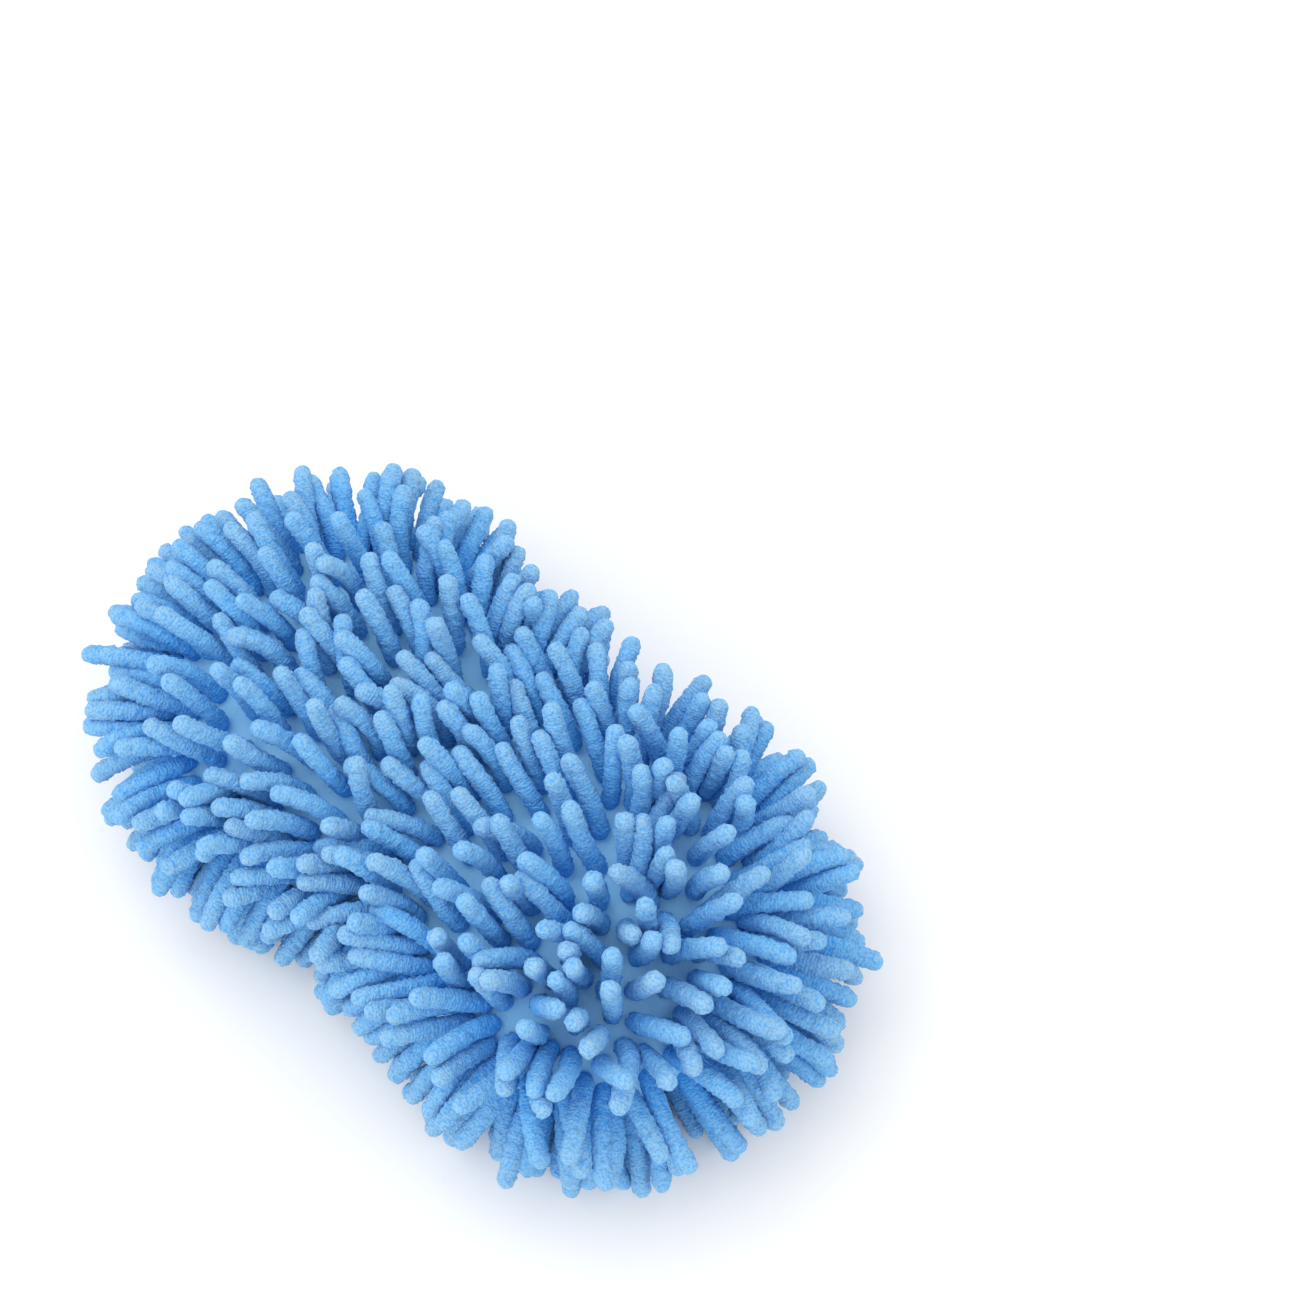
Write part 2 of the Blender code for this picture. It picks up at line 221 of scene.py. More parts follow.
class StageSettings(bpy.types.PropertyGroup):
    """Camera, floor and light."""

    azimuth: FloatProperty(
        name="Azimuth",
        description="Camera's way round the mitt",
        default=math.radians(40.5),
        subtype="ANGLE",
    )
    elevation: FloatProperty(
        name="Elevation",
        description="Camera's angle over the floor",
        default=math.radians(66.3),
        subtype="ANGLE",
    )
    distance: length_property("Distance", "From the camera to its target", 0.751)
    target: FloatVectorProperty(
        name="Target", description="Where the camera looks", default=(-0.0028, 0.0888, 0.0), subtype="XYZ"
    )
    lens: number_property("Lens", "Focal length in millimetres", 61.6)
    floor: colour_property("Floor", "Colour of the floor", (0.96, 0.96, 0.96))
    floor_reach: length_property("Floor Reach", "Half the width of the floor", 4.0)
    sky: number_property("Sky", "Strength of the light from all round", 1.1)
    lamp: number_property("Lamp", "Power of the soft lamp in watts", 5.8)
    fill: number_property("Fill", "Power of the lamp at the near side in watts", 3.5)
    lamp_place: FloatVectorProperty(
        name="Lamp Place", description="Where the soft lamp hangs", default=(-0.9, 0.1, 1.7), subtype="XYZ"
    )
    fill_place: FloatVectorProperty(
        name="Fill Place", description="Where the near lamp hangs", default=(-0.5, -1.5, 0.7), subtype="XYZ"
    )
    lamp_size: length_property("Lamp Size", "Width of both lamps", 1.2)


# Shape of the pad

class PadShape:
    """The foam pad's outside. Angle runs over a panel from the +Y seam, 0, to the other, pi."""

    def __init__(self, sizes):
        self.sizes = sizes
        self.half_length = sizes.core_length / 2
        self.lobe_centre = self.half_length - sizes.lobe_reach
        self.seam_lift = sizes.backing + sizes.fit_gap / 2
        self.cover_outside = sizes.backing + sizes.fit_gap

    def waist_blend(self, x, waist, lobe):
        """A size that grows from the waist to the lobe centres along a cosine."""
        share = np.minimum(1.0, np.abs(x) / self.lobe_centre)
        return waist + (lobe - waist) * (1 - np.cos(np.pi * share)) / 2

    def end_share(self, x):
        """How far x lies past a lobe's centre, from 0 there to 1 at the pad's end."""
        return np.clip((np.abs(x) - self.lobe_centre) / self.sizes.lobe_reach, 0.0, 1.0)

    def half_width(self, x):
        """Half the pad's width at x."""
        width = self.waist_blend(x, self.sizes.waist_width, self.sizes.lobe_width) / 2
        return width * np.sqrt(1 - self.end_share(x) ** 2)

    def crown(self, x):
        """How far the pad's crown stands over the seam at x."""
        height = self.waist_blend(x, self.sizes.waist_crown_height, self.sizes.crown_height)
        return height * (1 - self.end_share(x) ** END_POWER) ** (1 / END_POWER)

    def slope(self, size, x):
        """The rate at which a size changes along X."""
        step = 1e-5
        low = np.maximum(-self.half_length, x - step)
        high = np.minimum(self.half_length, x + step)
        return (size(high) - size(low)) / (high - low)

    def point(self, x, angle, side):
        """Points on the upper or lower face."""
        bend = 2 / SECTION_POWER
        across = np.sign(np.cos(angle)) * np.abs(np.cos(angle)) ** bend
        up = np.maximum(0.0, np.sin(angle)) ** bend
        height = self.sizes.seam_height + side * (self.seam_lift + self.crown(x) * up)
        return np.stack(np.broadcast_arrays(x, self.half_width(x) * across, height), axis=-1)

    def normal(self, x, angle, side):
        """The outward directions there."""
        bend = 2 / SECTION_POWER
        at_end = self.end_share(x) >= 1
        width = np.where(at_end, 1.0, self.half_width(x))
        height = np.where(at_end, 1.0, self.crown(x))
        across = np.abs(np.cos(angle)) ** bend
        up = np.maximum(0.0, np.sin(angle)) ** bend
        narrowing = across**SECTION_POWER * self.slope(self.half_width, x) / width
        sinking = up**SECTION_POWER * self.slope(self.crown, x) / height
        sideways = np.sign(np.cos(angle)) * across ** (SECTION_POWER - 1) / width
        upward = side * up ** (SECTION_POWER - 1) / height
        along = np.where(at_end, np.sign(x), -narrowing - sinking)
        sideways = np.where(at_end, 0.0, sideways)
        upward = np.where(at_end, 0.0, upward)
        return unit(np.stack(np.broadcast_arrays(along, sideways, upward), axis=-1))

    def stations(self):
        """Places along X that follow the lobes' curve, from one end of the pad to the other."""
        turns = np.pi / 2 * np.arange(LOBE_STEPS + 1) / LOBE_STEPS
        lobe = self.lobe_centre + self.sizes.lobe_reach * np.sin(turns)
        waist = self.lobe_centre * (2 * np.arange(1, WAIST_STEPS) / WAIST_STEPS - 1)
        return np.concatenate([-lobe[::-1], waist, lobe])

    def samples(self, side):
        """Places along X and angles of evenly strewn spots on a face."""
        along, lengths = self.crown_line()
        stations = np.interp(np.arange(SPOT_PITCH / 2, lengths[-1], SPOT_PITCH), lengths, along)
        places = []
        angles = []
        for x in stations:
            turns = np.linspace(0, np.pi, LINE_SAMPLES + 1)
            lengths = running_length(self.point(x, turns, side))
            spots = np.linspace(0, lengths[-1], 2 + int(lengths[-1] / SPOT_PITCH))
            angles.append(np.interp(spots, lengths, turns))
            places.append(np.full(len(spots), x))
        return np.concatenate(places), np.concatenate(angles)

    def crown_line(self):
        """Places along X on the middle of the crown, and the running length at each."""
        turns = np.pi / 2 * np.linspace(-1, 1, 2 * LINE_SAMPLES + 1)
        along = self.half_length * np.sin(turns)
        return along, running_length(self.point(along, np.pi / 2, UPPER))

    def row_places(self, rows):
        """Where the noodle rows cross the middle of a panel, evenly spaced along its crown."""
        along, lengths = self.crown_line()
        return np.interp((np.arange(rows) + 0.5) / rows * lengths[-1], lengths, along)


def unit(vectors):
    """Vectors brought to a length of 1."""
    return vectors / np.maximum(np.linalg.norm(vectors, axis=-1, keepdims=True), TINY)


def running_length(points):
    """The length of a line up to each of its points."""
    steps = np.linalg.norm(np.diff(points, axis=0), axis=1)
    return np.concatenate([[0.0], np.cumsum(steps)])


def nearest(points, others):
    """How far each point is from the nearest of the others."""
    return np.min([np.linalg.norm(points - other, axis=1) for other in others], axis=0)


def smooth_step(low, high, value):
    """A soft rise from 0 at low to 1 at high."""
    share = np.clip((value - low) / (high - low), 0.0, 1.0)
    return share * share * (3 - 2 * share)


# Finishes

class Socket:
    """A node's output that takes part in Python expressions on values."""

    def __init__(self, finish, output):
        self.finish = finish
        self.output = output

    def other(self, name):
        """Another output of the same node."""
        return Socket(self.finish, self.output.node.outputs[name])

    def math(self, operation, first, second):
        """A Math node on two values."""
        return self.finish.node("ShaderNodeMath", {"operation": operation}, {0: first, 1: second})

    def __add__(self, value):
        return self.math("ADD", self, value)

    def __sub__(self, value):
        return self.math("SUBTRACT", self, value)

    def __rsub__(self, value):
        return self.math("SUBTRACT", value, self)

    def __mul__(self, value):
        return self.math("MULTIPLY", self, value)

    __radd__ = __add__
    __rmul__ = __mul__


class Finish:
    """One material or world, made a node at a time."""

    def __init__(self, tree):
        self.tree = tree

    def node(self, kind, settings=(), inputs=(), output=0):
        """Adds a node: its settings first, then its sockets' values or links. Returns one output."""
        made = self.tree.nodes.new(kind)
        for name, value in dict(settings).items():
            setattr(made, name, value)
        for name, value in dict(inputs).items():
            self.feed(made.inputs[name], value)
        return Socket(self, made.outputs[output])

    def feed(self, socket, value):
        """Sets a socket to a value, or links it."""
        if isinstance(value, Socket):
            self.tree.links.new(value.output, socket)
        else:
            socket.default_value = value

    def sine(self, value):
        """The sine of a value."""
        return self.node("ShaderNodeMath", {"operation": "SINE"}, {0: value})

    def noise(self, place, scale, detail):
        """Soft noise from 0 to 1, with patches of 1 / scale metres."""
        inputs = {"Vector": place, "Scale": scale, "Detail": detail}
        return self.node("ShaderNodeTexNoise", {"noise_dimensions": "3D"}, inputs)

    def cells(self, place, scale, feature):
        """Distances in a mosaic of cells that are 1 / scale metres wide."""
        return self.node("ShaderNodeTexVoronoi", {"feature": feature}, {"Vector": place, "Scale": scale})

    def blend(self, share, low, high):
        """A colour between two others, each a constant or a socket."""
        low, high = (colour if isinstance(colour, Socket) else (*colour, 1) for colour in (low, high))
        return self.node("ShaderNodeMix", {"data_type": "RGBA"}, {0: share, 6: low, 7: high}, 2)

    def bump(self, height, depth, strength):
        """A surface direction from a height."""
        return self.node("ShaderNodeBump", (), {"Height": height, "Distance": depth, "Strength": strength})


class Cloth(Finish):
    """A soft, dull fabric or foam."""

    def __init__(self, name):
        self.material = bpy.data.materials.new(name)
        self.material.use_nodes = True
        super().__init__(self.material.node_tree)
        self.shader = self.tree.nodes["Principled BSDF"]
        self.place = self.node("ShaderNodeTexCoord", output="Object")

    def wear(self, **inputs):
        """Feeds the shader's sockets, named with _ for a space."""
        for name, value in inputs.items():
            self.feed(self.shader.inputs[name.replace("_", " ")], value)
        return self.material


def chenille_finish(colours):
    """Microfibre chenille: short fibres round a core yarn, in soft crosswise ridges, with painted light and
    shade in its colour.
    """
    cloth = Cloth("chenille")
    around = cloth.node("ShaderNodeUVMap", {"uv_map": "Yarn"})
    split = cloth.node("ShaderNodeSeparateXYZ", (), {0: around})
    along = split.other("Y")
    tint = cloth.node("ShaderNodeAttribute", {"attribute_name": "tint"}, output="Fac")
    gap = cloth.cells(cloth.place, scale=1150, feature="F1")
    fibre = cloth.noise(cloth.place, scale=3200, detail=2)
    warp = cloth.noise(cloth.place, scale=500, detail=1)
    ridges_on_noodle = 28
    warp_turns = 1.8
    phase = along * ridges_on_noodle + split + warp * warp_turns
    ridge = cloth.sine(phase * math.tau)
    # Painted light and shade: paler towards the lit tip and on the tufts' tops, with painted shade at the
    # foot, in the ridges' furrows and in the gaps between the tufts. The tint is each noodle's own random
    # tone.
    share = 0.15 + along * 0.5 + (0.45 - gap) * 0.5 + tint * 0.1 + ridge * 0.04
    height = ridge * 0.3 - gap * 1.3 + fibre * 0.8
    fibres_lit_and_shaded = cloth.blend(share, colours.chenille_dye_and_shade, colours.chenille_dye_and_highlight)
    return cloth.wear(
        # Painted shade: the shadow colour is laid over the fibres in the gaps between the tufts and in the
        # ridges' furrows
        Base_Color=cloth.blend((gap - 0.4) * 0.9 - ridge * 0.07, fibres_lit_and_shaded, colours.chenille_shadow),
        Roughness=0.95,
        Specular_IOR_Level=0.15,
        Sheen_Weight=0.15,
        Sheen_Roughness=0.5,
        Sheen_Tint=(0.5, 0.78, 1.0, 1.0),
        Normal=cloth.bump(height, depth=0.0005, strength=0.6),
    )


def knit_finish(colours):
    """Fine smooth knit: small ribs under a soft nap."""
    cloth = Cloth("knit")
    rib_pitch = 0.0007
    split = cloth.node("ShaderNodeSeparateXYZ", (), {0: cloth.place})
    nap = cloth.noise(cloth.place, scale=1500, detail=3)
    cloud = cloth.noise(cloth.place, scale=90, detail=2)
    rib = cloth.sine(split.other("Y") * (math.tau / rib_pitch))
    course = cloth.sine(split * (math.tau / rib_pitch))
    share = 0.5 + (nap - 0.5) * 0.5 + (cloud - 0.5) * 0.7 + rib * course * 0.1
    height = nap * 0.8 + rib * course * 0.35
    return cloth.wear(
        Base_Color=cloth.blend(share, colours.knit_deep, colours.knit_pale),
        Roughness=0.9,
        Specular_IOR_Level=0.2,
        Sheen_Weight=0.1,
        Sheen_Roughness=0.4,
        Sheen_Tint=(0.6, 0.82, 1.0, 1.0),
        Normal=cloth.bump(height, depth=0.0002, strength=0.4),
    )


def thread_finish(colours):
    """Twisted sewing thread."""
    cloth = Cloth("thread")
    split = cloth.node("ShaderNodeSeparateXYZ", (), {0: cloth.place})
    ply_pitch = 0.0011
    twist = cloth.sine((split + split.other("Z")) * (math.tau / ply_pitch))
    fuzz = cloth.noise(cloth.place, scale=3000, detail=2)
    share = 0.5 + twist * 0.35 + (fuzz - 0.5) * 0.4
    shadow = [0.6 * value for value in colours.thread]
    return cloth.wear(
        Base_Color=cloth.blend(share, shadow, colours.thread),
        Roughness=0.75,
        Sheen_Weight=0.2,
        Normal=cloth.bump(twist + fuzz * 0.5, depth=0.00015, strength=0.6),
    )


def foam_finish(colours):
    """Open-cell sponge."""
    cloth = Cloth("foam")
    cells = cloth.cells(cloth.place, scale=900, feature="DISTANCE_TO_EDGE")
    cloud = cloth.noise(cloth.place, scale=60, detail=2)
    share = cells * 2.2 + (cloud - 0.5) * 0.4
    wall = [0.55 * value for value in colours.foam]
    return cloth.wear(
        Base_Color=cloth.blend(1 - share, wall, colours.foam),
        Roughness=0.95,
        Normal=cloth.bump(cells, depth=0.0006, strength=0.8),
    )


# Pieces

def add_piece(name, data, finish, slot, *nodes):
    """Links a piece that rides on the mitt and stands for CAD nodes."""
    piece = bpy.data.objects.new(name, data)
    data.materials.append(finish)
    bpy.context.scene.collection.objects.link(piece)
    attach(piece, "root")
    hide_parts(*nodes)
    return piece


def mesh_from(bm, name):
    """Turns a bmesh into a smooth mesh."""
    mesh = bpy.data.meshes.new(name)
    bm.to_mesh(mesh)
    bm.free()
    mesh.shade_smooth()
    return mesh


def panel_grid(shape, side, inset, lift):
    """A panel over one face of the pad, with its edge turned in. Lift maps x and angle to a height."""
    bm = bmesh.new()
    along = shape.stations()
    columns = len(along) - 1
    rows = CROWN_STEPS + 2
    grid = bmesh.ops.create_grid(bm, x_segments=columns, y_segments=rows, size=1)
    for vert in grid["verts"]:
        x = along[round((vert.co.x + 1) / 2 * columns)]
        row = round((1 + side * vert.co.y) / 2 * rows)
        angle = math.pi * (1 - min(max(row - 1, 0), CROWN_STEPS) / CROWN_STEPS)
        turned_in = inset if row in (0, rows) else 0.0
        place = shape.point(x, angle, side)
        vert.co = place + shape.normal(x, angle, side) * (lift(x, angle) - turned_in)
    bmesh.ops.remove_doubles(bm, verts=bm.verts, dist=1e-5)
    return bm


class MITT_OT_foam_pad(bpy.types.Operator):
    """Builds the foam pad inside the cover"""

    bl_idname = "mitt.foam_pad"
    bl_label = "Foam Pad"

    def execute(self, context):
        scene = context.scene
        shape = PadShape(scene.mitt_pad)
        overlock = SEAM_BOX[1].z - SEAM_BOX[0].z
        slot_depth = scene.mitt_pad.seam_allowance + overlock + scene.mitt_pad.fit_gap
        bm = panel_grid(shape, UPPER, slot_depth, lambda x, angle: 0.0)
        rim = [edge for edge in bm.edges if edge.is_boundary]
        skirt = bmesh.ops.extrude_edge_only(bm, edges=rim)["geom"]
        for vert in skirt:
            if isinstance(vert, bmesh.types.BMVert):
                vert.co.z = scene.mitt_pad.seam_height
        bmesh.ops.translate(bm, vec=(0, 0, -scene.mitt_pad.seam_height), verts=bm.verts)
        bmesh.ops.mirror(bm, geom=bm.verts[:] + bm.edges[:] + bm.faces[:], merge_dist=1e-6, axis="Z")
        bmesh.ops.translate(bm, vec=(0, 0, scene.mitt_pad.seam_height), verts=bm.verts)
        bmesh.ops.remove_doubles(bm, verts=bm.verts, dist=1e-6)
        bmesh.ops.recalc_face_normals(bm, faces=bm.faces)
        finish = foam_finish(scene.mitt_finishes)
        pad = add_piece("foam_pad", mesh_from(bm, "foam_pad"), finish, "foam", "foam_core")
        return {"FINISHED"}


class MITT_OT_knit_cover(bpy.types.Operator):
    """Builds the two knit panels over the pad"""

    bl_idname = "mitt.knit_cover"
    bl_label = "Knit Cover"

    def execute(self, context):
        scene = context.scene
        sizes = scene.mitt_pad
        shape = PadShape(sizes)
        along, lengths = shape.crown_line()
        finish = knit_finish(scene.mitt_finishes)

        def puckered(x, angle):
            row = np.interp(x, along, lengths) / lengths[-1] * scene.mitt_noodles.rows
            return sizes.pucker * (1 + math.cos(math.tau * row) * math.sin(angle)) / 2

        for name, side in SIDES:
            bm = panel_grid(shape, side, sizes.seam_allowance, puckered)
            node = f"{name}_backing"
            panel = add_piece(f"{name}_knit", mesh_from(bm, f"{name}_knit"), finish, "knit", node)
            wall = panel.modifiers.new("knit", "SOLIDIFY")
            wall.thickness = sizes.backing
            wall.offset = 1
            wall.use_even_offset = True
        return {"FINISHED"}


class MITT_OT_seam_threads(bpy.types.Operator):
    """Finishes the overlocked edge and sews the closing stitch"""

    bl_idname = "mitt.seam_threads"
    bl_label = "Seam Threads"

    STITCHES = 20
    SPAN = 0.080
    THREAD = 0.0008
    REACH = 0.0022
    STAND_OFF = 0.0004

    def stitch_points(self, shape):
        """The thread's way over the seam and back, once for each stitch."""
        points = []
        for i in range(2 * self.STITCHES + 1):
            x = self.SPAN * (i / (2 * self.STITCHES) - 0.5)
            side = UPPER if i % 2 else LOWER
            line = shape.point(x, np.linspace(0, np.pi / 2, LINE_SAMPLES), side)
            angle = np.interp(self.REACH, running_length(line), np.linspace(0, np.pi / 2, LINE_SAMPLES))
            out = shape.cover_outside + self.STAND_OFF + self.THREAD / 2
            points.append(shape.point(x, angle, side) + shape.normal(x, angle, side) * out)
        return points

    def execute(self, context):
        scene = context.scene
        finish = thread_finish(scene.mitt_finishes)
        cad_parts["seam_overlock"].data.materials.clear()
        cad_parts["seam_overlock"].data.materials.append(finish)
        curve = bpy.data.curves.new("closing_thread", "CURVE")
        curve.dimensions = "3D"
        curve.bevel_depth = self.THREAD / 2
        curve.bevel_resolution = 2
        curve.use_fill_caps = True
        points = self.stitch_points(PadShape(scene.mitt_pad))
        spline = curve.splines.new("BEZIER")
        spline.bezier_points.add(len(points) - 1)
        spline.resolution_u = 6
        for place, point in zip(points, spline.bezier_points):
            point.co = place
            point.handle_left_type = "AUTO"
            point.handle_right_type = "AUTO"
        add_piece("closing_thread", curve, finish, "thread", "closing_stitch")
        return {"FINISHED"}


# Noodle pile

class NoodleBed:
    """Where every noodle is tufted, how big it is and which way it is brushed."""

    def __init__(self, scene, shape):
        self.noodles = scene.mitt_noodles
        self.lean = scene.mitt_lean
        self.shape = shape
        self.draw = np.random.default_rng(self.noodles.seed)
        self.rows = []
        feet = []
        outward = []
        for name, side in SIDES:
            places, angles, counts = self.panel_tufts(side)
            for number, count in enumerate(counts, 1):
                self.rows.append((f"{name}_noodle_row_{number:02d}", count))
            normals = shape.normal(places, angles, side)
            feet.append(shape.point(places, angles, side) + normals * shape.cover_outside)
            outward.append(normals)
        self.feet = np.concatenate(feet)
        self.outward = np.concatenate(outward)
        count = len(self.feet)
        self.lengths = self.noodles.length + self.noodles.length_spread * self.even_draw(count)
        at_ends = smooth_step(shape.lobe_centre, shape.half_length, np.abs(self.feet[:, 0]))
        self.lengths *= 1 + self.noodles.end_growth * at_ends
        self.radii = (self.noodles.width + self.noodles.width_spread * self.even_draw(count)) / 2
        self.tints = self.even_draw(count)
        self.rolls = math.pi * self.even_draw(count)
        self.goals = self.brushed()

    def even_draw(self, *shape):
        """Random numbers from -1 to 1."""
        return self.draw.uniform(-1, 1, shape)

    def row_line(self, x, side):
        """The tufts of one row: their places along X and their angles over the panel."""
        angles = np.linspace(0, np.pi, LINE_SAMPLES + 1)
        lengths = running_length(self.shape.point(x, angles, side))
        reach = lengths[-1] / 2 - self.noodles.seam_margin
        pitch = self.noodles.pitch / self.part_need(x)
        steps = int(reach / pitch)
        order = np.arange(-steps, steps + 1)
        tufts = pitch * order + self.noodles.stray * self.even_draw(len(order))
        tufts = lengths[-1] / 2 + np.clip(tufts, -reach, reach)
        places = x + self.noodles.stagger * np.where(order % 2, 1, -1)
        limit = self.shape.half_length - self.noodles.width / 2
        places = np.clip(places + self.noodles.stray * self.even_draw(len(order)), -limit, limit)
        return places, np.interp(tufts, lengths, angles)

    def panel_tufts(self, side):
        """One panel's tufts, row by row: their places along X, their angles and each row's count."""
        rows = self.shape.row_places(self.noodles.rows)
        lines = [self.row_line(x, side) for x in rows]
        places = [x for line in lines for x in line[0]]
        angles = [angle for line in lines for angle in line[1]]
        spare_places, spare_angles = self.shape.samples(side)
        spare = self.shape.point(spare_places, spare_angles, side)
        rim = np.concatenate([self.shape.point(self.shape.stations(), edge, side) for edge in (0, np.pi)])
        from_rim = nearest(spare, rim)
        open_ground = from_rim > self.noodles.seam_margin
        need = open_ground * np.where(from_rim < self.noodles.rim_band, self.noodles.rim_crowding, 1)
        need *= self.part_need(spare_places)
        room = need * nearest(spare, self.shape.point(np.array(places), np.array(angles), side))
        while room.max() > self.noodles.widest_gap:
            best = room.argmax()
            places.append(spare_places[best])
            angles.append(spare_angles[best])
            room = np.minimum(room, need * np.linalg.norm(spare - spare[best], axis=1))
        places = np.array(places)
        row_of = np.abs(places[:, None] - rows).argmin(axis=1)
        order = np.argsort(row_of, kind="stable")
        return places[order], np.array(angles)[order], np.bincount(row_of, minlength=len(rows))

    def swirls(self, count):
        """Soft random fields over the mitt, one value for each noodle and field."""
        fields = []
        for _ in range(count):
            field = np.zeros(len(self.feet))
            for _ in range(SWIRL_WAVES):
                way = unit(self.draw.normal(size=3)) * math.tau / self.lean.swirl_length
                phase = math.pi * self.draw.uniform(-1, 1)
                field += np.sin(self.feet @ way + phase) / math.sqrt(SWIRL_WAVES)
            fields.append(field)
        return np.stack(fields, axis=1)

    def comb_turn(self, x):
        """How far the comb has turned round at x, from 0 to 1."""
        return smooth_step(self.lean.turn_start, self.lean.turn_end, x)

    def part_need(self, x):
        """How many times closer the tufts stand at x, where the comb turns round."""
        turn = self.comb_turn(x)
        return 1 + self.noodles.part_crowding * 4 * turn * (1 - turn)

    def brushed(self):
        """The way of each noodle's segments before it meets its neighbours."""
        lean = self.lean
        x = self.feet[:, 0]
        comb = -lean.comb + (lean.comb + lean.end_lean) * self.comb_turn(x)
        far = smooth_step(self.shape.lobe_centre / 2, self.shape.half_length, -x)
        comb *= 1 - (1 - lean.far_comb) * far
        across = np.abs(self.feet[:, 1]) / np.maximum(self.shape.half_width(x), TINY)
        comb *= 1 - (1 - lean.side_comb) * smooth_step(lean.side_start, 1, across)
        droop = -lean.droop * (lean.end_droop + (1 - lean.end_droop) * np.abs(self.outward[:, 1]))
        droop *= (1 - self.outward[:, 2] ** 2) ** DROOP_POWER
        droop *= 1 + lean.waist_droop * smooth_step(self.shape.lobe_centre, 0, np.abs(x))
        part = (lean.part + lean.far_fan * far) / (self.shape.sizes.lobe_width / 2)
        aims = self.outward + part[:, None] * self.rim_way()
        aims += np.stack([comb, 0 * x, droop], axis=1)
        aims += lean.stray * self.draw.normal(size=aims.shape) + lean.swirl * self.swirls(3)
        aims = unit(aims)
        aims = self.pressed(aims, comb)
        curls = lean.curl * self.draw.normal(size=aims.shape)
        level = np.sqrt(1 - aims[:, 2] ** 2)
        goals = []
        for share in (np.arange(SEGMENTS) + 0.5) / SEGMENTS:
            over = AIM_AT_FOOT + (1 - AIM_AT_FOOT) * smooth_step(0, AIM_FULL_AT, share)
            ways = self.outward * (1 - over) + aims * over + curls * (share - CURL_TURN)
            ways[:, 2] -= lean.sag * level * share**2
            goals.append(unit(ways))
        return np.stack(goals, axis=1)

    def rim_way(self):
        """The level ways from the pad's middle line to the feet."""
        ways = self.feet.copy()
        ways[:, 0] -= np.clip(ways[:, 0], -self.shape.lobe_centre, self.shape.lobe_centre)
        ways[:, 2] = 0
        return ways

    def pressed(self, aims, comb):
        """Lays the noodles that would reach below the floor over, towards the rim and with the comb."""
        room = self.feet[:, 2] - self.radii
        low = self.lengths * aims[:, 2] < -room
        over = unit(self.rim_way()) + self.lean.stray * self.draw.normal(size=aims.shape)
        over[:, 0] += comb
        over[:, 2] = 0
        drop = np.clip(room / self.lengths, 0, 1)[:, None]
        laid = unit(over) * np.sqrt(1 - drop**2) - drop * np.array([0, 0, 1.0])
        return np.where(low[:, None], laid, aims)


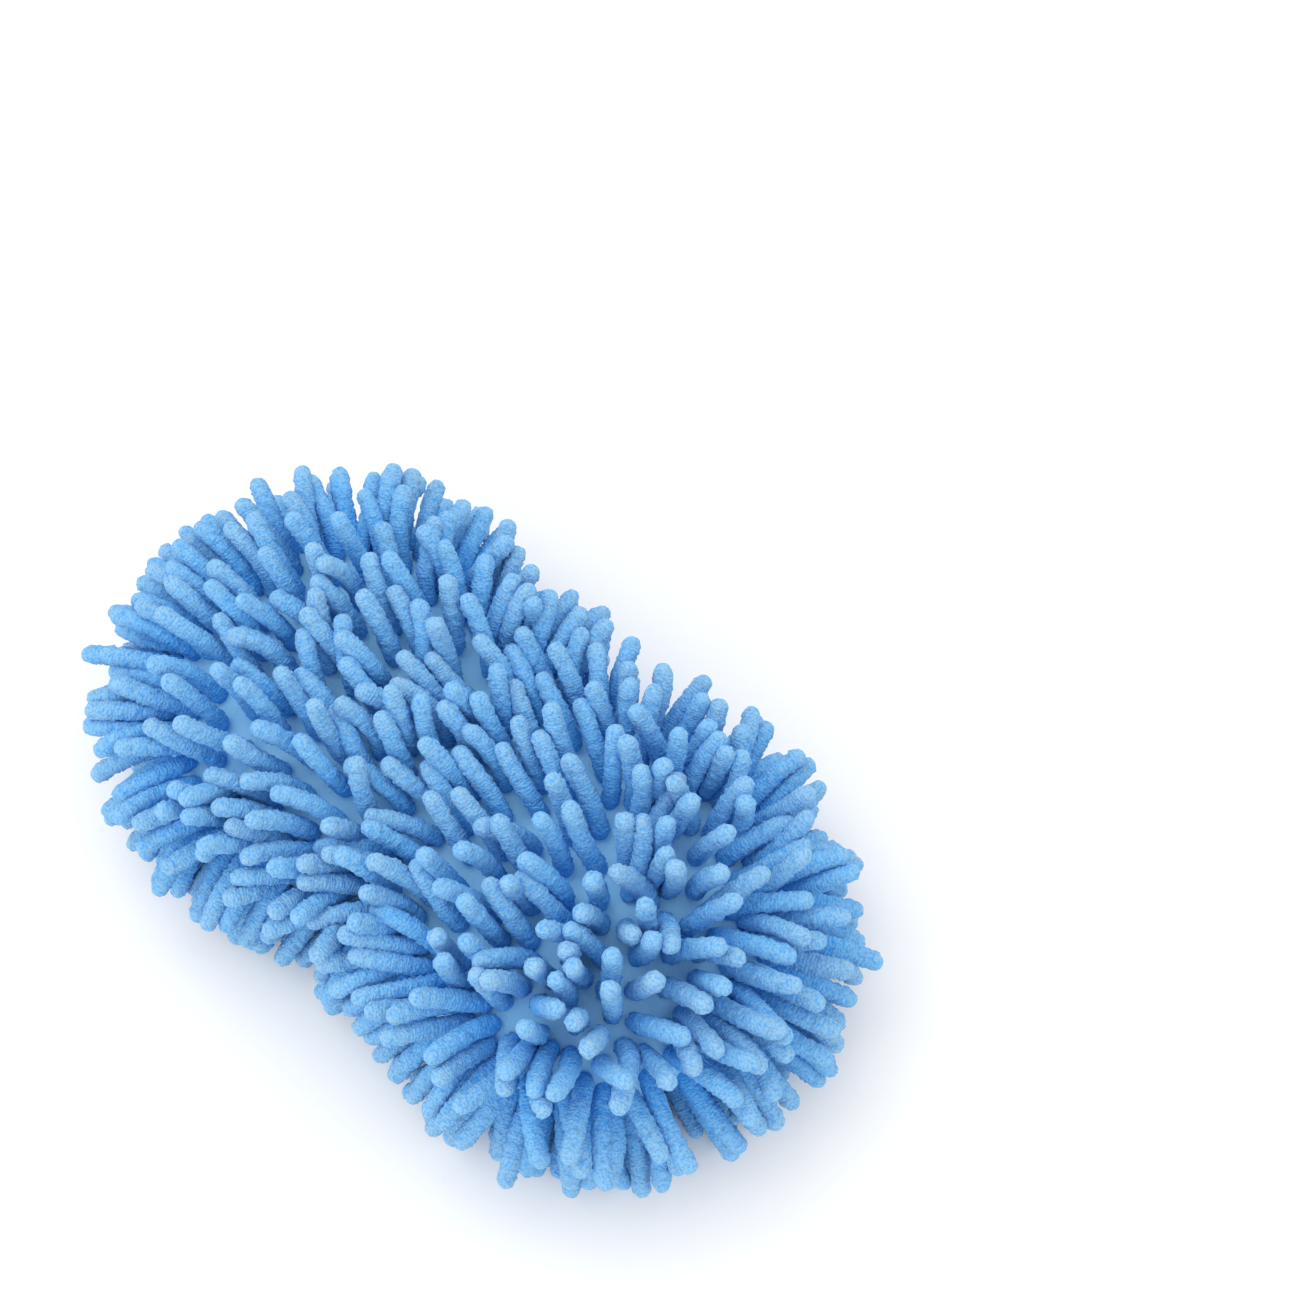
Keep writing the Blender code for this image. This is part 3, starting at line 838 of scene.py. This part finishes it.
class Pile:
    """Noodles as chains of beads, which settle against each other, the cover and the floor."""

    def __init__(self, bed):
        self.bed = bed
        self.segment = bed.lengths / SEGMENTS
        self.hold = np.linspace(ROOT_HOLD, TIP_HOLD, SEGMENTS)[None, :, None]
        self.beads = self.laid(bed.goals)
        self.owner = np.repeat(np.arange(len(bed.feet)), SEGMENTS)
        self.radius = np.repeat(bed.radii, SEGMENTS)
        self.freedom = np.tile(np.minimum(1.0, np.arange(1, SEGMENTS + 1) / FOOT_BEADS), len(bed.feet))
        order = np.arange(1, SEGMENTS + 1)
        self.swing = np.minimum(1.0, order[:, None] / order)
        spots = [(*bed.shape.samples(side), side) for _, side in SIDES]
        self.cover = np.concatenate([bed.shape.point(*spot) for spot in spots])
        self.cover_normals = np.concatenate([bed.shape.normal(*spot) for spot in spots])
        self.cover += self.cover_normals * bed.shape.cover_outside

    def laid(self, ways):
        """Beads along chains whose segments point in these ways."""
        steps = np.cumsum(ways * self.segment[:, None, None], axis=1)
        feet = self.bed.feet[:, None]
        return np.concatenate([feet, feet + steps], axis=1)

    def find_neighbours(self, moving):
        """Pairs of beads near enough to meet, and the spot of the cover under each bead."""
        squares = (moving**2).sum(axis=1)
        reach = 2 * self.radius.max() + MEETING_ROOM
        gaps = squares[:, None] + squares - 2 * moving @ moving.T
        first, second = np.nonzero(gaps < reach**2)
        apart = (first < second) & (self.owner[first] != self.owner[second])
        self.first = first[apart]
        self.second = second[apart]
        cover_squares = (self.cover**2).sum(axis=1)
        self.under = np.argmin(cover_squares - 2 * moving @ self.cover.T, axis=1)

    def push_apart(self, moving, grown):
        """Moves beads that overlap away from each other, half each."""
        gap = moving[self.first] - moving[self.second]
        distance = np.maximum(np.linalg.norm(gap, axis=1), 1e-6)
        wanted = SOFTNESS * grown * (self.radius[self.first] + self.radius[self.second])
        overlap = np.maximum(0, wanted - distance)
        push = gap * (overlap / distance / 2)[:, None]
        meeting = (overlap > 0).astype(float)
        total = len(moving)
        ends = np.concatenate([self.first, self.second])
        meetings = np.bincount(ends, np.concatenate([meeting, meeting]), total)
        both = np.concatenate([push, -push])
        moves = np.stack([np.bincount(ends, both[:, axis], total) for axis in range(3)], axis=1)
        moves /= np.maximum(1, CROWDING * meetings)[:, None]
        return moving + self.swung(moves, meetings > 0)

    def swung(self, moves, pushed):
        """Swings whole chains about their feet by the mean of the pushes on their beads."""
        moves = moves.reshape(-1, SEGMENTS, 3)
        pushed = pushed.reshape(-1, SEGMENTS).astype(float)
        total = np.einsum("jk,nkc->njc", self.swing, moves)
        weight = np.maximum(1, pushed @ self.swing.T)
        return (total / weight[..., None]).reshape(-1, 3)

    def keep_outside(self, moving, grown):
        """Keeps beads over the cover and over the floor."""
        normals = self.cover_normals[self.under]
        height = ((moving - self.cover[self.under]) * normals).sum(axis=1)
        wanted = SOFTNESS * grown * self.radius * self.freedom
        moving = moving + normals * np.maximum(0, wanted - height)[:, None]
        moving[:, 2] = np.maximum(moving[:, 2], self.radius)
        return moving

    def settle(self, steps):
        """Lets the chains find their places. Returns their beads."""
        for step in range(steps):
            grown = min(1.0, START_SIZE + (1 - START_SIZE) * (step + 1) / (GROWN_BY * steps))
            ways = unit(np.diff(self.beads, axis=1))
            ways = unit(ways + self.hold * (self.bed.goals - ways))
            for _ in range(EASE_PASSES):
                ways[:, 1:-1] += KINK_EASE * (ways[:, :-2] + ways[:, 2:] - 2 * ways[:, 1:-1])
            moving = self.laid(unit(ways))[:, 1:].reshape(-1, 3)
            if step % PAIRS_EVERY == 0:
                self.find_neighbours(moving)
            for _ in range(CONTACT_PASSES):
                moving = self.keep_outside(self.push_apart(moving, grown), grown)
            self.beads[:, 1:] = moving.reshape(-1, SEGMENTS, 3)
        return self.laid(unit(np.diff(self.beads, axis=1)))


def noodle_profile(rings):
    """A noodle's rings, from its gathered foot to its blunt tip, as shares of its length and radius."""
    body = [(share, 1.0) for share in np.linspace(BODY_START, TIP_START, rings)]
    tip = []
    for turn in np.radians(TIP_TURNS):
        tip.append((TIP_START + (1 - TIP_START) * math.sin(turn), math.cos(turn) ** TIP_BLUNTNESS))
    return [*FOOT_RINGS, *body, *tip]


def noodle_template(noodles):
    """A straight noodle of unit length and radius, with its yarn's UV map."""
    bm = bmesh.new()
    profile = noodle_profile(noodles.rings)
    bmesh.ops.create_circle(bm, cap_ends=True, segments=noodles.sides, radius=profile[0][1])
    bmesh.ops.translate(bm, vec=(0, 0, profile[0][0]), verts=bm.verts)
    end = next(iter(bm.faces))
    for (share, width), (next_share, next_width) in zip(profile, profile[1:]):
        end = bmesh.ops.extrude_discrete_faces(bm, faces=[end])["faces"][0]
        grow = next_width / width
        bmesh.ops.scale(bm, vec=(grow, grow, 1), verts=end.verts)
        bmesh.ops.translate(bm, vec=(0, 0, next_share - share), verts=end.verts)
    bmesh.ops.poke(bm, faces=[end])["verts"][0].co.z = 1
    bmesh.ops.holes_fill(bm, edges=[edge for edge in bm.edges if edge.is_boundary])
    bmesh.ops.recalc_face_normals(bm, faces=bm.faces)
    layer = bm.loops.layers.uv.new("Yarn")
    for face in bm.faces:
        middle = face.calc_center_median()
        for loop in face.loops:
            turn = Vector(loop.vert.co[:2])
            on_axis = turn.length == 0 or middle.xy.length <= 1e-6
            away = 0.0 if on_axis else Vector(middle[:2]).angle_signed(turn, 0.0)
            loop[layer].uv = ((math.atan2(middle.y, middle.x) - away) / math.tau, loop.vert.co.z)
    return mesh_from(bm, "noodle")


class NoodleDrawing:
    """Bends copies of the straight noodle along the settled chains."""

    def __init__(self, bed, beads):
        self.bed = bed
        self.template = noodle_template(bed.noodles)
        count = len(self.template.vertices)
        places = np.empty(count * 3)
        self.template.vertices.foreach_get("co", places)
        places = places.reshape(-1, 3)
        self.shares, self.ring = np.unique(places[:, 2].round(5), return_inverse=True)
        self.cross = places[:, :2]
        self.middles, self.across, self.over = self.frames(beads)

    def frames(self, beads):
        """Each ring's middle and its two crosswise directions."""
        before = 2 * beads[:, :1] - beads[:, 1:2]
        after = 2 * beads[:, -1:] - beads[:, -2:-1]
        chain = np.concatenate([before, beads, after], axis=1)
        spot = np.clip(self.shares, 0, 1) * SEGMENTS
        step = np.minimum(spot.astype(int), SEGMENTS - 1)
        share = (spot - step)[None, :, None]
        a, b, c, d = (chain[:, step + i] for i in range(4))
        square = 2 * a - 5 * b + 4 * c - d
        cube = 3 * b - a - 3 * c + d
        middles = 0.5 * (2 * b + (c - a) * share + square * share**2 + cube * share**3)
        ways = unit(c - a + 2 * square * share + 3 * cube * share**2)
        buried = np.minimum(self.shares, 0)[None, :, None] * self.bed.lengths[:, None, None]
        middles = middles + ways * buried
        level_enough = 0.8
        helper = np.where(np.abs(ways[:, 0, 2:]) < level_enough, [[0, 0, 1.0]], [[1.0, 0, 0]])
        start = unit(np.cross(ways[:, 0], helper))
        turned = np.cross(ways[:, 0], start)
        roll = self.bed.rolls[:, None]
        side = start * np.cos(roll) + turned * np.sin(roll)
        across = []
        for ring in range(len(self.shares)):
            way = ways[:, ring]
            side = unit(side - way * (side * way).sum(axis=1, keepdims=True))
            across.append(side)
        across = np.stack(across, axis=1)
        return middles, across, np.cross(ways, across)

    def vertices(self, number):
        """The vertex places of one noodle, with its soft lumps, and flat where it lies on the floor."""
        draw = self.bed.draw
        rings = len(self.shares)
        lumps = np.convolve(draw.normal(size=rings + len(LUMP_WEIGHTS) - 1), LUMP_WEIGHTS, "valid")
        size = 1 + LUMP * lumps[self.ring] + FUZZ * draw.normal(size=len(self.ring))
        size = self.bed.radii[number] * np.clip(size, LEAST_SIZE, MOST_SIZE)
        offsets = self.cross * size[:, None]
        places = self.middles[number, self.ring]
        places = places + self.across[number, self.ring] * offsets[:, :1]
        places = places + self.over[number, self.ring] * offsets[:, 1:]
        places[:, 2] = np.maximum(places[:, 2], 0)
        return places

    def row_mesh(self, name, numbers):
        """One row's noodles as a mesh."""
        bm = bmesh.new()
        for _ in numbers:
            bm.from_mesh(self.template)
        mesh = mesh_from(bm, name)
        places = np.concatenate([self.vertices(number) for number in numbers])
        mesh.vertices.foreach_set("co", places.ravel())
        tints = np.repeat(self.bed.tints[numbers], len(self.ring))
        mesh.attributes.new("tint", "FLOAT", "POINT").data.foreach_set("value", tints)
        mesh.update()
        return mesh


class MITT_OT_noodle_rows(bpy.types.Operator):
    """Settles the noodle pile and draws its rows"""

    bl_idname = "mitt.noodle_rows"
    bl_label = "Noodle Rows"

    def execute(self, context):
        scene = context.scene
        bed = NoodleBed(scene, PadShape(scene.mitt_pad))
        beads = Pile(bed).settle(SETTLE_STEPS)
        drawing = NoodleDrawing(bed, beads)
        finish = chenille_finish(scene.mitt_finishes)
        first = 0
        for node, count in bed.rows:
            name = node.replace("noodle", "chenille")
            mesh = drawing.row_mesh(name, np.arange(first, first + count))
            add_piece(name, mesh, finish, "chenille", node)
            first += count
        return {"FINISHED"}


# Stage

class MITT_OT_stage(bpy.types.Operator):
    """Sets the floor, the soft light and the camera"""

    bl_idname = "mitt.stage"
    bl_label = "Stage"

    def execute(self, context):
        scene = context.scene
        settings = scene.mitt_stage
        self.lay_floor(settings)
        self.light_room(scene, settings)
        self.hang_lamp("soft_lamp", settings.lamp, settings.lamp_place, settings.lamp_size)
        self.hang_lamp("fill_lamp", settings.fill, settings.fill_place, settings.lamp_size)
        self.set_camera(scene, settings)
        scene.view_settings.view_transform = "Standard"
        return {"FINISHED"}

    def lay_floor(self, settings):
        """A wide pale floor."""
        bm = bmesh.new()
        bmesh.ops.create_grid(bm, x_segments=1, y_segments=1, size=settings.floor_reach)
        floor = bpy.data.objects.new("floor", mesh_from(bm, "floor"))
        paint = Cloth("floor")
        floor.data.materials.append(paint.wear(Base_Color=(*settings.floor, 1), Roughness=0.9))
        bpy.context.scene.collection.objects.link(floor)

    def light_room(self, scene, settings):
        """Even light from all round, in front of a white background."""
        world = bpy.data.worlds.new("room")
        world.use_nodes = True
        scene.world = world
        room = Finish(world.node_tree)
        room.tree.nodes.clear()
        ray = room.node("ShaderNodeLightPath", output="Is Camera Ray")
        seen = ray + ray.other("Is Glossy Ray") + ray.other("Is Transmission Ray")
        white = {"Color": (1, 1, 1, 1)}
        light = room.node("ShaderNodeBackground", (), {**white, "Strength": settings.sky})
        backdrop = room.node("ShaderNodeBackground", (), white)
        both = room.node("ShaderNodeMixShader", (), {0: seen, 1: light, 2: backdrop})
        room.feed(room.tree.nodes.new("ShaderNodeOutputWorld").inputs["Surface"], both)

    def hang_lamp(self, name, power, place, size):
        """One large soft lamp that shines on the mitt."""
        lamp = bpy.data.lights.new(name, "AREA")
        lamp.shape = "SQUARE"
        lamp.size = size
        lamp.energy = power
        hung = bpy.data.objects.new(name, lamp)
        hung.location = place
        hung.rotation_euler = hung.location.to_track_quat("Z", "Y").to_euler()
        bpy.context.scene.collection.objects.link(hung)

    def set_camera(self, scene, settings):
        """The view from above one long side."""
        flat = math.cos(settings.elevation)
        right = math.sin(settings.azimuth) * flat
        near = math.cos(settings.azimuth) * flat
        back = Vector((right, -near, math.sin(settings.elevation)))
        camera = bpy.data.objects.new("camera", bpy.data.cameras.new("camera"))
        camera.data.lens = settings.lens
        camera.data.sensor_width = 36
        camera.data.clip_start = 0.01
        camera.location = Vector(settings.target) + back * settings.distance
        camera.rotation_euler = back.to_track_quat("Z", "Y").to_euler()
        scene.collection.objects.link(camera)
        scene.camera = camera


# Add-on

STEPS = (MITT_OT_foam_pad, MITT_OT_knit_cover, MITT_OT_seam_threads, MITT_OT_noodle_rows, MITT_OT_stage)


class MITT_PT_panel(bpy.types.Panel):
    """Lists the mitt's steps and settings."""

    bl_idname = "MITT_PT_panel"
    bl_label = "Wash Mitt"
    bl_space_type = "VIEW_3D"
    bl_region_type = "UI"
    bl_category = "Mitt"

    def draw(self, context):
        for step in STEPS:
            self.layout.operator(step.bl_idname)
        for name in SETTINGS:
            settings = getattr(context.scene, name)
            box = self.layout.box()
            for key in settings.bl_rna.properties.keys():
                if key not in ("rna_type", "name"):
                    box.prop(settings, key)


SETTINGS = {
    "mitt_pad": PadSizes,
    "mitt_noodles": NoodleSizes,
    "mitt_lean": PileLean,
    "mitt_finishes": Finishes,
    "mitt_stage": StageSettings,
}


def register():
    """Registers the settings, steps and panel."""
    for name, group in SETTINGS.items():
        bpy.utils.register_class(group)
        setattr(bpy.types.Scene, name, PointerProperty(type=group))
    for step in STEPS:
        bpy.utils.register_class(step)
    bpy.utils.register_class(MITT_PT_panel)


def unregister():
    """Removes the panel, steps and settings."""
    bpy.utils.unregister_class(MITT_PT_panel)
    for step in reversed(STEPS):
        bpy.utils.unregister_class(step)
    for name, group in reversed(SETTINGS.items()):
        delattr(bpy.types.Scene, name)
        bpy.utils.unregister_class(group)


def main():
    """Builds the mitt step by step."""
    register()
    bpy.ops.mitt.stage()
    bpy.ops.mitt.foam_pad()
    bpy.ops.mitt.knit_cover()
    bpy.ops.mitt.seam_threads()
    bpy.ops.mitt.noodle_rows()


if __name__ == "__main__":
    main()
